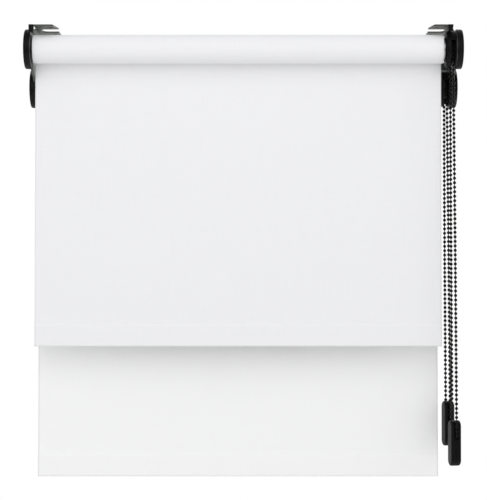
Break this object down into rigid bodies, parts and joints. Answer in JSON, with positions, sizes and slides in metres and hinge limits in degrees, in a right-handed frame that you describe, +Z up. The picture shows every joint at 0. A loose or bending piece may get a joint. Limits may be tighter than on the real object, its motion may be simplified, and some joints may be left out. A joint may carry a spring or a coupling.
{
  "type": "double roller blind",
  "caption": "Double roller blind: an opaque front fabric and a sheer rear fabric on chain-driven rollers in stepped steel brackets with bead chain loops.",
  "frame": {"origin": "middle of the four ceiling screw holes, on the top face of the bracket tabs", "axes": "+X along the rollers to the chain side, +Y towards the wall, +Z up"},
  "size_m": [0.588, 0.1036, 0.611],
  "materials": {
    "bracket_steel": "galvanised sheet steel, dull grey",
    "black_plastic": "moulded, fine satin texture",
    "acetal": "smooth moulded",
    "zinc_steel": "bright zinc plated",
    "spring_steel": "drawn wire",
    "aluminium": "extruded, satin",
    "clear_white_plastic": "moulded",
    "bead_chain": "black beads on a dark braided cord",
    "weight_steel": "turned bar, oiled",
    "opaque_fabric": "coated opaque polyester weave, faintly bluish white",
    "sheer_fabric": "light-filtering polyester weave, white"
  },
  "bodies": {
    "brackets": {"bracket_left": "bracket_steel", "bracket_right": "bracket_steel", "front_cover_left": "black_plastic", "front_cover_right": "black_plastic", "rear_cover_left": "black_plastic", "rear_cover_right": "black_plastic", "corner_cap_left": "black_plastic", "corner_cap_right": "black_plastic", "front_clutch_housing": "black_plastic", "front_clutch_shaft": "acetal", "front_clutch_screw": "zinc_steel", "front_fabric": "opaque_fabric", "rear_clutch_housing": "black_plastic", "rear_clutch_shaft": "acetal", "rear_clutch_screw": "zinc_steel", "rear_fabric": "sheer_fabric"},
    "front_roller": {"front_chain_wheel": "black_plastic", "front_brake_springs": "spring_steel", "front_drive_plug": "black_plastic", "front_tube": "aluminium", "front_fabric_roll": "opaque_fabric", "front_idler_plug": "black_plastic", "front_idler_spring": "spring_steel"},
    "front_idler": {"front_idler_pin": "zinc_steel"},
    "front_hem": {"front_hem_pocket": "opaque_fabric", "front_hem_bar": "aluminium", "front_hem_caps": "clear_white_plastic"},
    "front_chain_loop": {"front_chain": "bead_chain", "front_weight_left": "black_plastic", "front_weight_right": "black_plastic", "front_weight_slug": "weight_steel", "front_weight_bar": "black_plastic"},
    "rear_roller": {"rear_chain_wheel": "black_plastic", "rear_brake_springs": "spring_steel", "rear_drive_plug": "black_plastic", "rear_tube": "aluminium", "rear_fabric_roll": "sheer_fabric", "rear_idler_plug": "black_plastic", "rear_idler_spring": "spring_steel"},
    "rear_idler": {"rear_idler_pin": "zinc_steel"},
    "rear_hem": {"rear_hem_pocket": "sheer_fabric", "rear_hem_bar": "aluminium", "rear_hem_caps": "clear_white_plastic"},
    "rear_chain_loop": {"rear_chain": "bead_chain", "rear_weight_left": "black_plastic", "rear_weight_right": "black_plastic", "rear_weight_slug": "weight_steel", "rear_weight_bar": "black_plastic"}
  },
  "joints": [
    {"name": "front_roller_turn", "type": "hinge", "parent": "brackets", "child": "front_roller", "pos_m": [0, -0.027, -0.0306], "axis": [1, 0, 0], "range_deg": [0, 970]},
    {"name": "front_hem_lift", "type": "slide", "parent": "brackets", "child": "front_hem", "axis": [0, 0, 1], "range_m": [0, 0.327], "deforming": ["front_fabric"]},
    {"name": "front_idler_press", "type": "slide", "parent": "front_roller", "child": "front_idler", "axis": [1, 0, 0], "range_m": [0, 0.006], "stiffness_N_per_m": 400, "springref_m": -0.012, "deforming": ["front_idler_spring"]},
    {"name": "front_chain_swing", "type": "hinge", "parent": "brackets", "child": "front_chain_loop", "pos_m": [0, -0.027, -0.0306], "axis": [1, 0, 0], "range_deg": [-30, 1]},
    {"name": "rear_roller_turn", "type": "hinge", "parent": "brackets", "child": "rear_roller", "pos_m": [0, 0.018, -0.0785], "axis": [1, 0, 0], "range_deg": [0, 1325]},
    {"name": "rear_hem_lift", "type": "slide", "parent": "brackets", "child": "rear_hem", "axis": [0, 0, 1], "range_m": [0, 0.447], "deforming": ["rear_fabric"]},
    {"name": "rear_idler_press", "type": "slide", "parent": "rear_roller", "child": "rear_idler", "axis": [1, 0, 0], "range_m": [0, 0.006], "stiffness_N_per_m": 400, "springref_m": -0.012, "deforming": ["rear_idler_spring"]},
    {"name": "rear_chain_swing", "type": "hinge", "parent": "brackets", "child": "rear_chain_loop", "pos_m": [0, 0.018, -0.0785], "axis": [1, 0, 0], "range_deg": [-1, 1.5]}
  ],
  "couplings": [
    {"joint": "front_hem_lift", "follows": "front_roller_turn", "m_per_rad": 0.0193},
    {"joint": "rear_hem_lift", "follows": "rear_roller_turn", "m_per_rad": 0.0193}
  ]
}
